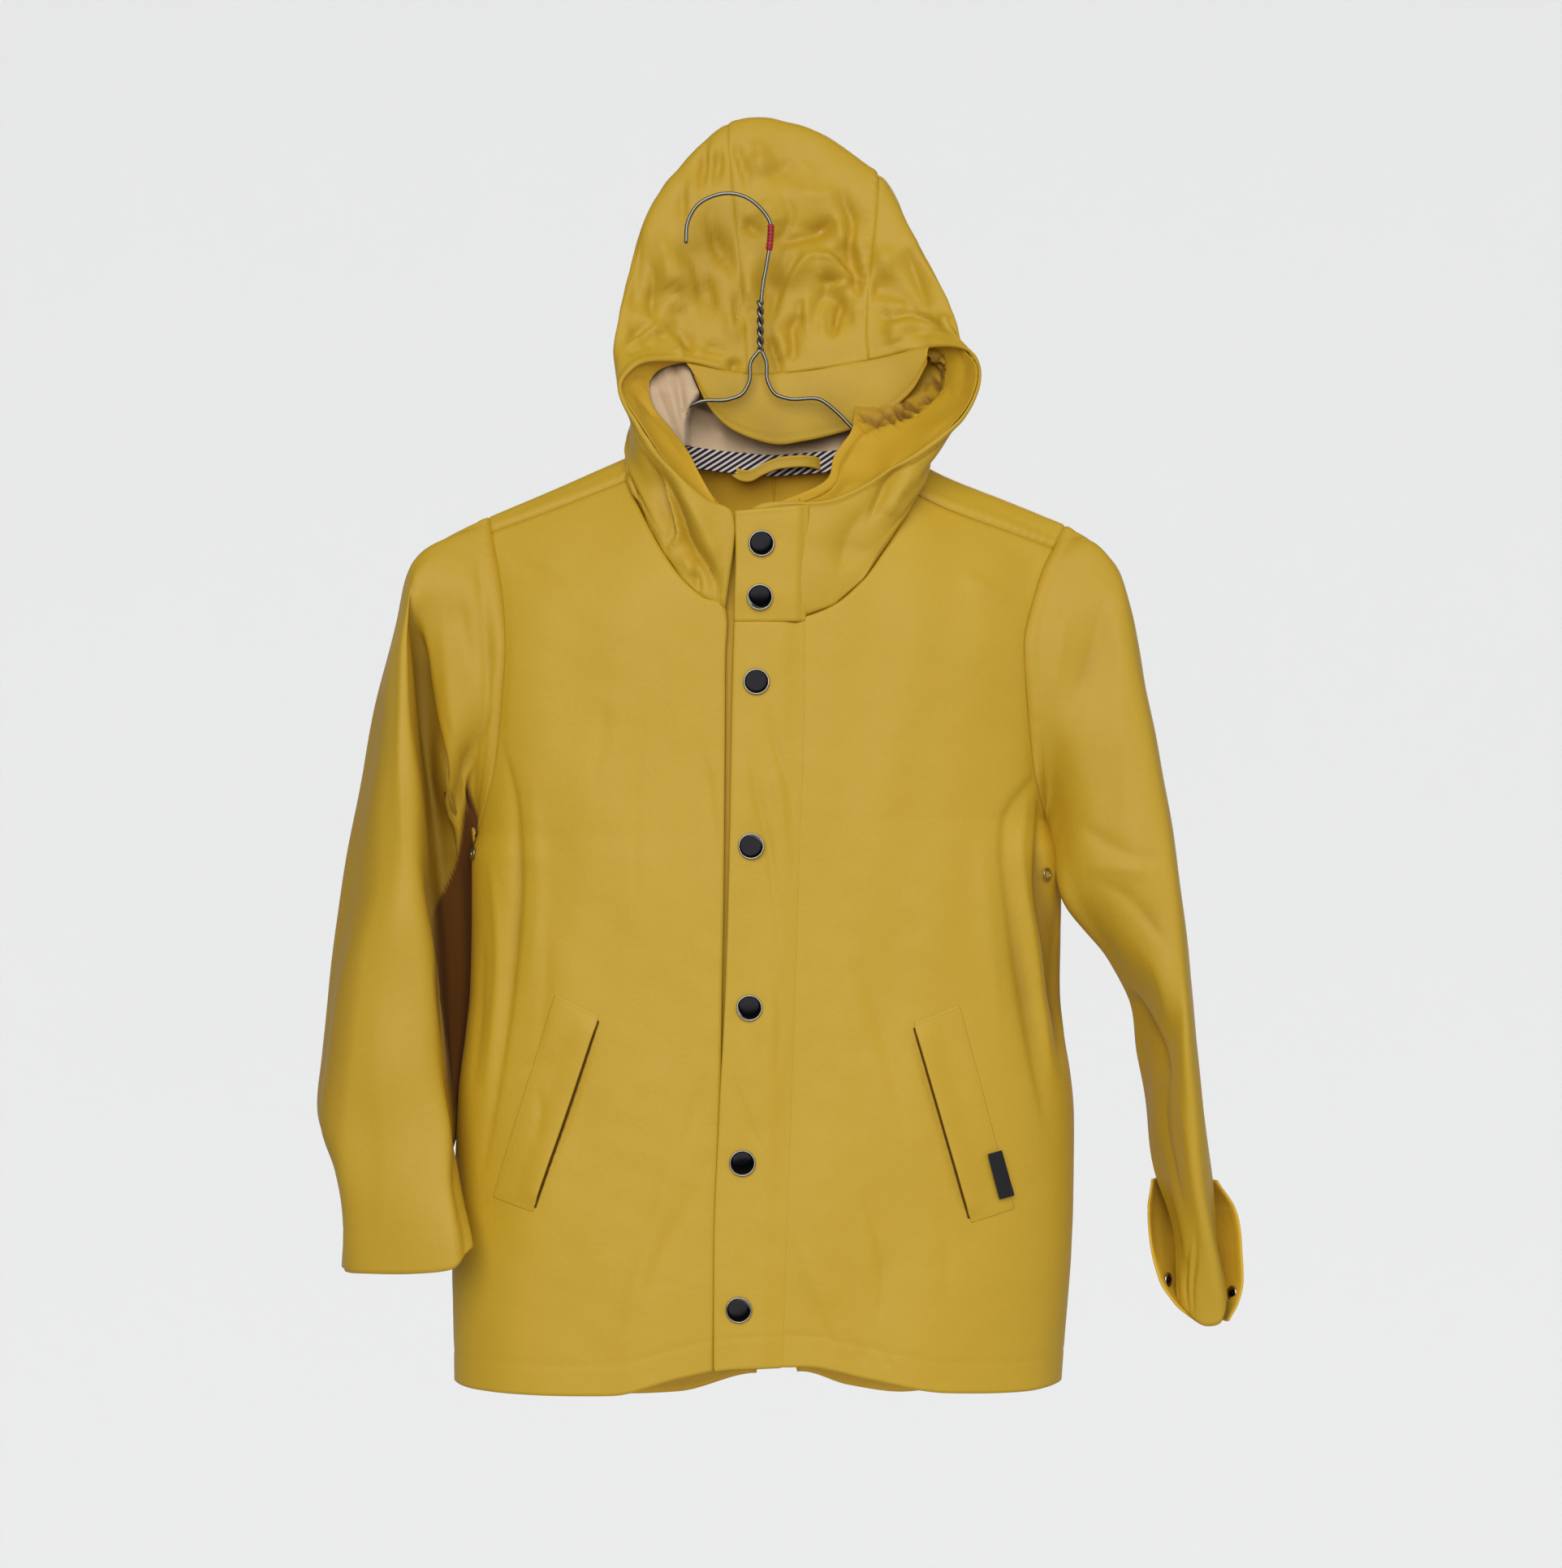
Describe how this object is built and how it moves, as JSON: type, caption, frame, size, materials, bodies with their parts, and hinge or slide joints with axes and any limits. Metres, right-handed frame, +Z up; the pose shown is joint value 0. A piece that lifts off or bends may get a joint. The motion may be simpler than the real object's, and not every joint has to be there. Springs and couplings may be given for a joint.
{
  "type": "kids windbreaker on wire hanger",
  "caption": "Child's hooded rain windbreaker of coated cloth, snapped shut at the front, hanging on a twisted wire hanger.",
  "frame": {"origin": "inner top of the hanger's hook, where a rail or peg carries it", "axes": "+Z up, +X to the wearer's left, the front faces -Y"},
  "size_m": [0.545, 0.1605, 0.7703],
  "materials": {
    "coated_yellow": "matt rubbery coating over knitted cloth",
    "lining_cream": "soft plain lining",
    "striped_tape": "woven tape with fine diagonal stripes",
    "label_black": "plain woven label",
    "dark_chrome": "dark polished snap caps",
    "wire_steel": "drawn wire, slightly dull",
    "tape_red": "thin wrapped tape"
  },
  "bodies": {
    "root": {"front_right": "coated_yellow", "front_left": "coated_yellow", "back_right": "coated_yellow", "back_left": "coated_yellow", "sleeve_right": "coated_yellow", "sleeve_left": "coated_yellow", "cuff_turn_up_left": "coated_yellow", "hood_side_right": "coated_yellow", "hood_center": "coated_yellow", "hood_side_left": "coated_yellow", "hood_facing_right": "coated_yellow", "hood_facing_left": "coated_yellow", "hood_brim": "coated_yellow", "placket": "coated_yellow", "placket_collar": "coated_yellow", "front_underlap": "coated_yellow", "pocket_welt_right": "coated_yellow", "pocket_welt_left": "coated_yellow", "hanging_loop": "coated_yellow", "hood_lining": "lining_cream", "neck_tape": "striped_tape", "pocket_label": "label_black", "hanger_tape": "tape_red", "snap_1": "dark_chrome", "snap_2": "dark_chrome", "snap_3": "dark_chrome", "snap_4": "dark_chrome", "snap_5": "dark_chrome", "snap_6": "dark_chrome", "snap_7": "dark_chrome", "cuff_snap_inner": "dark_chrome", "cuff_snap_outer": "dark_chrome", "eyelet_right": "wire_steel", "eyelet_left": "wire_steel", "hanger_hook": "wire_steel", "hanger_twist": "wire_steel", "hanger_frame": "wire_steel"}
  },
  "joints": []
}
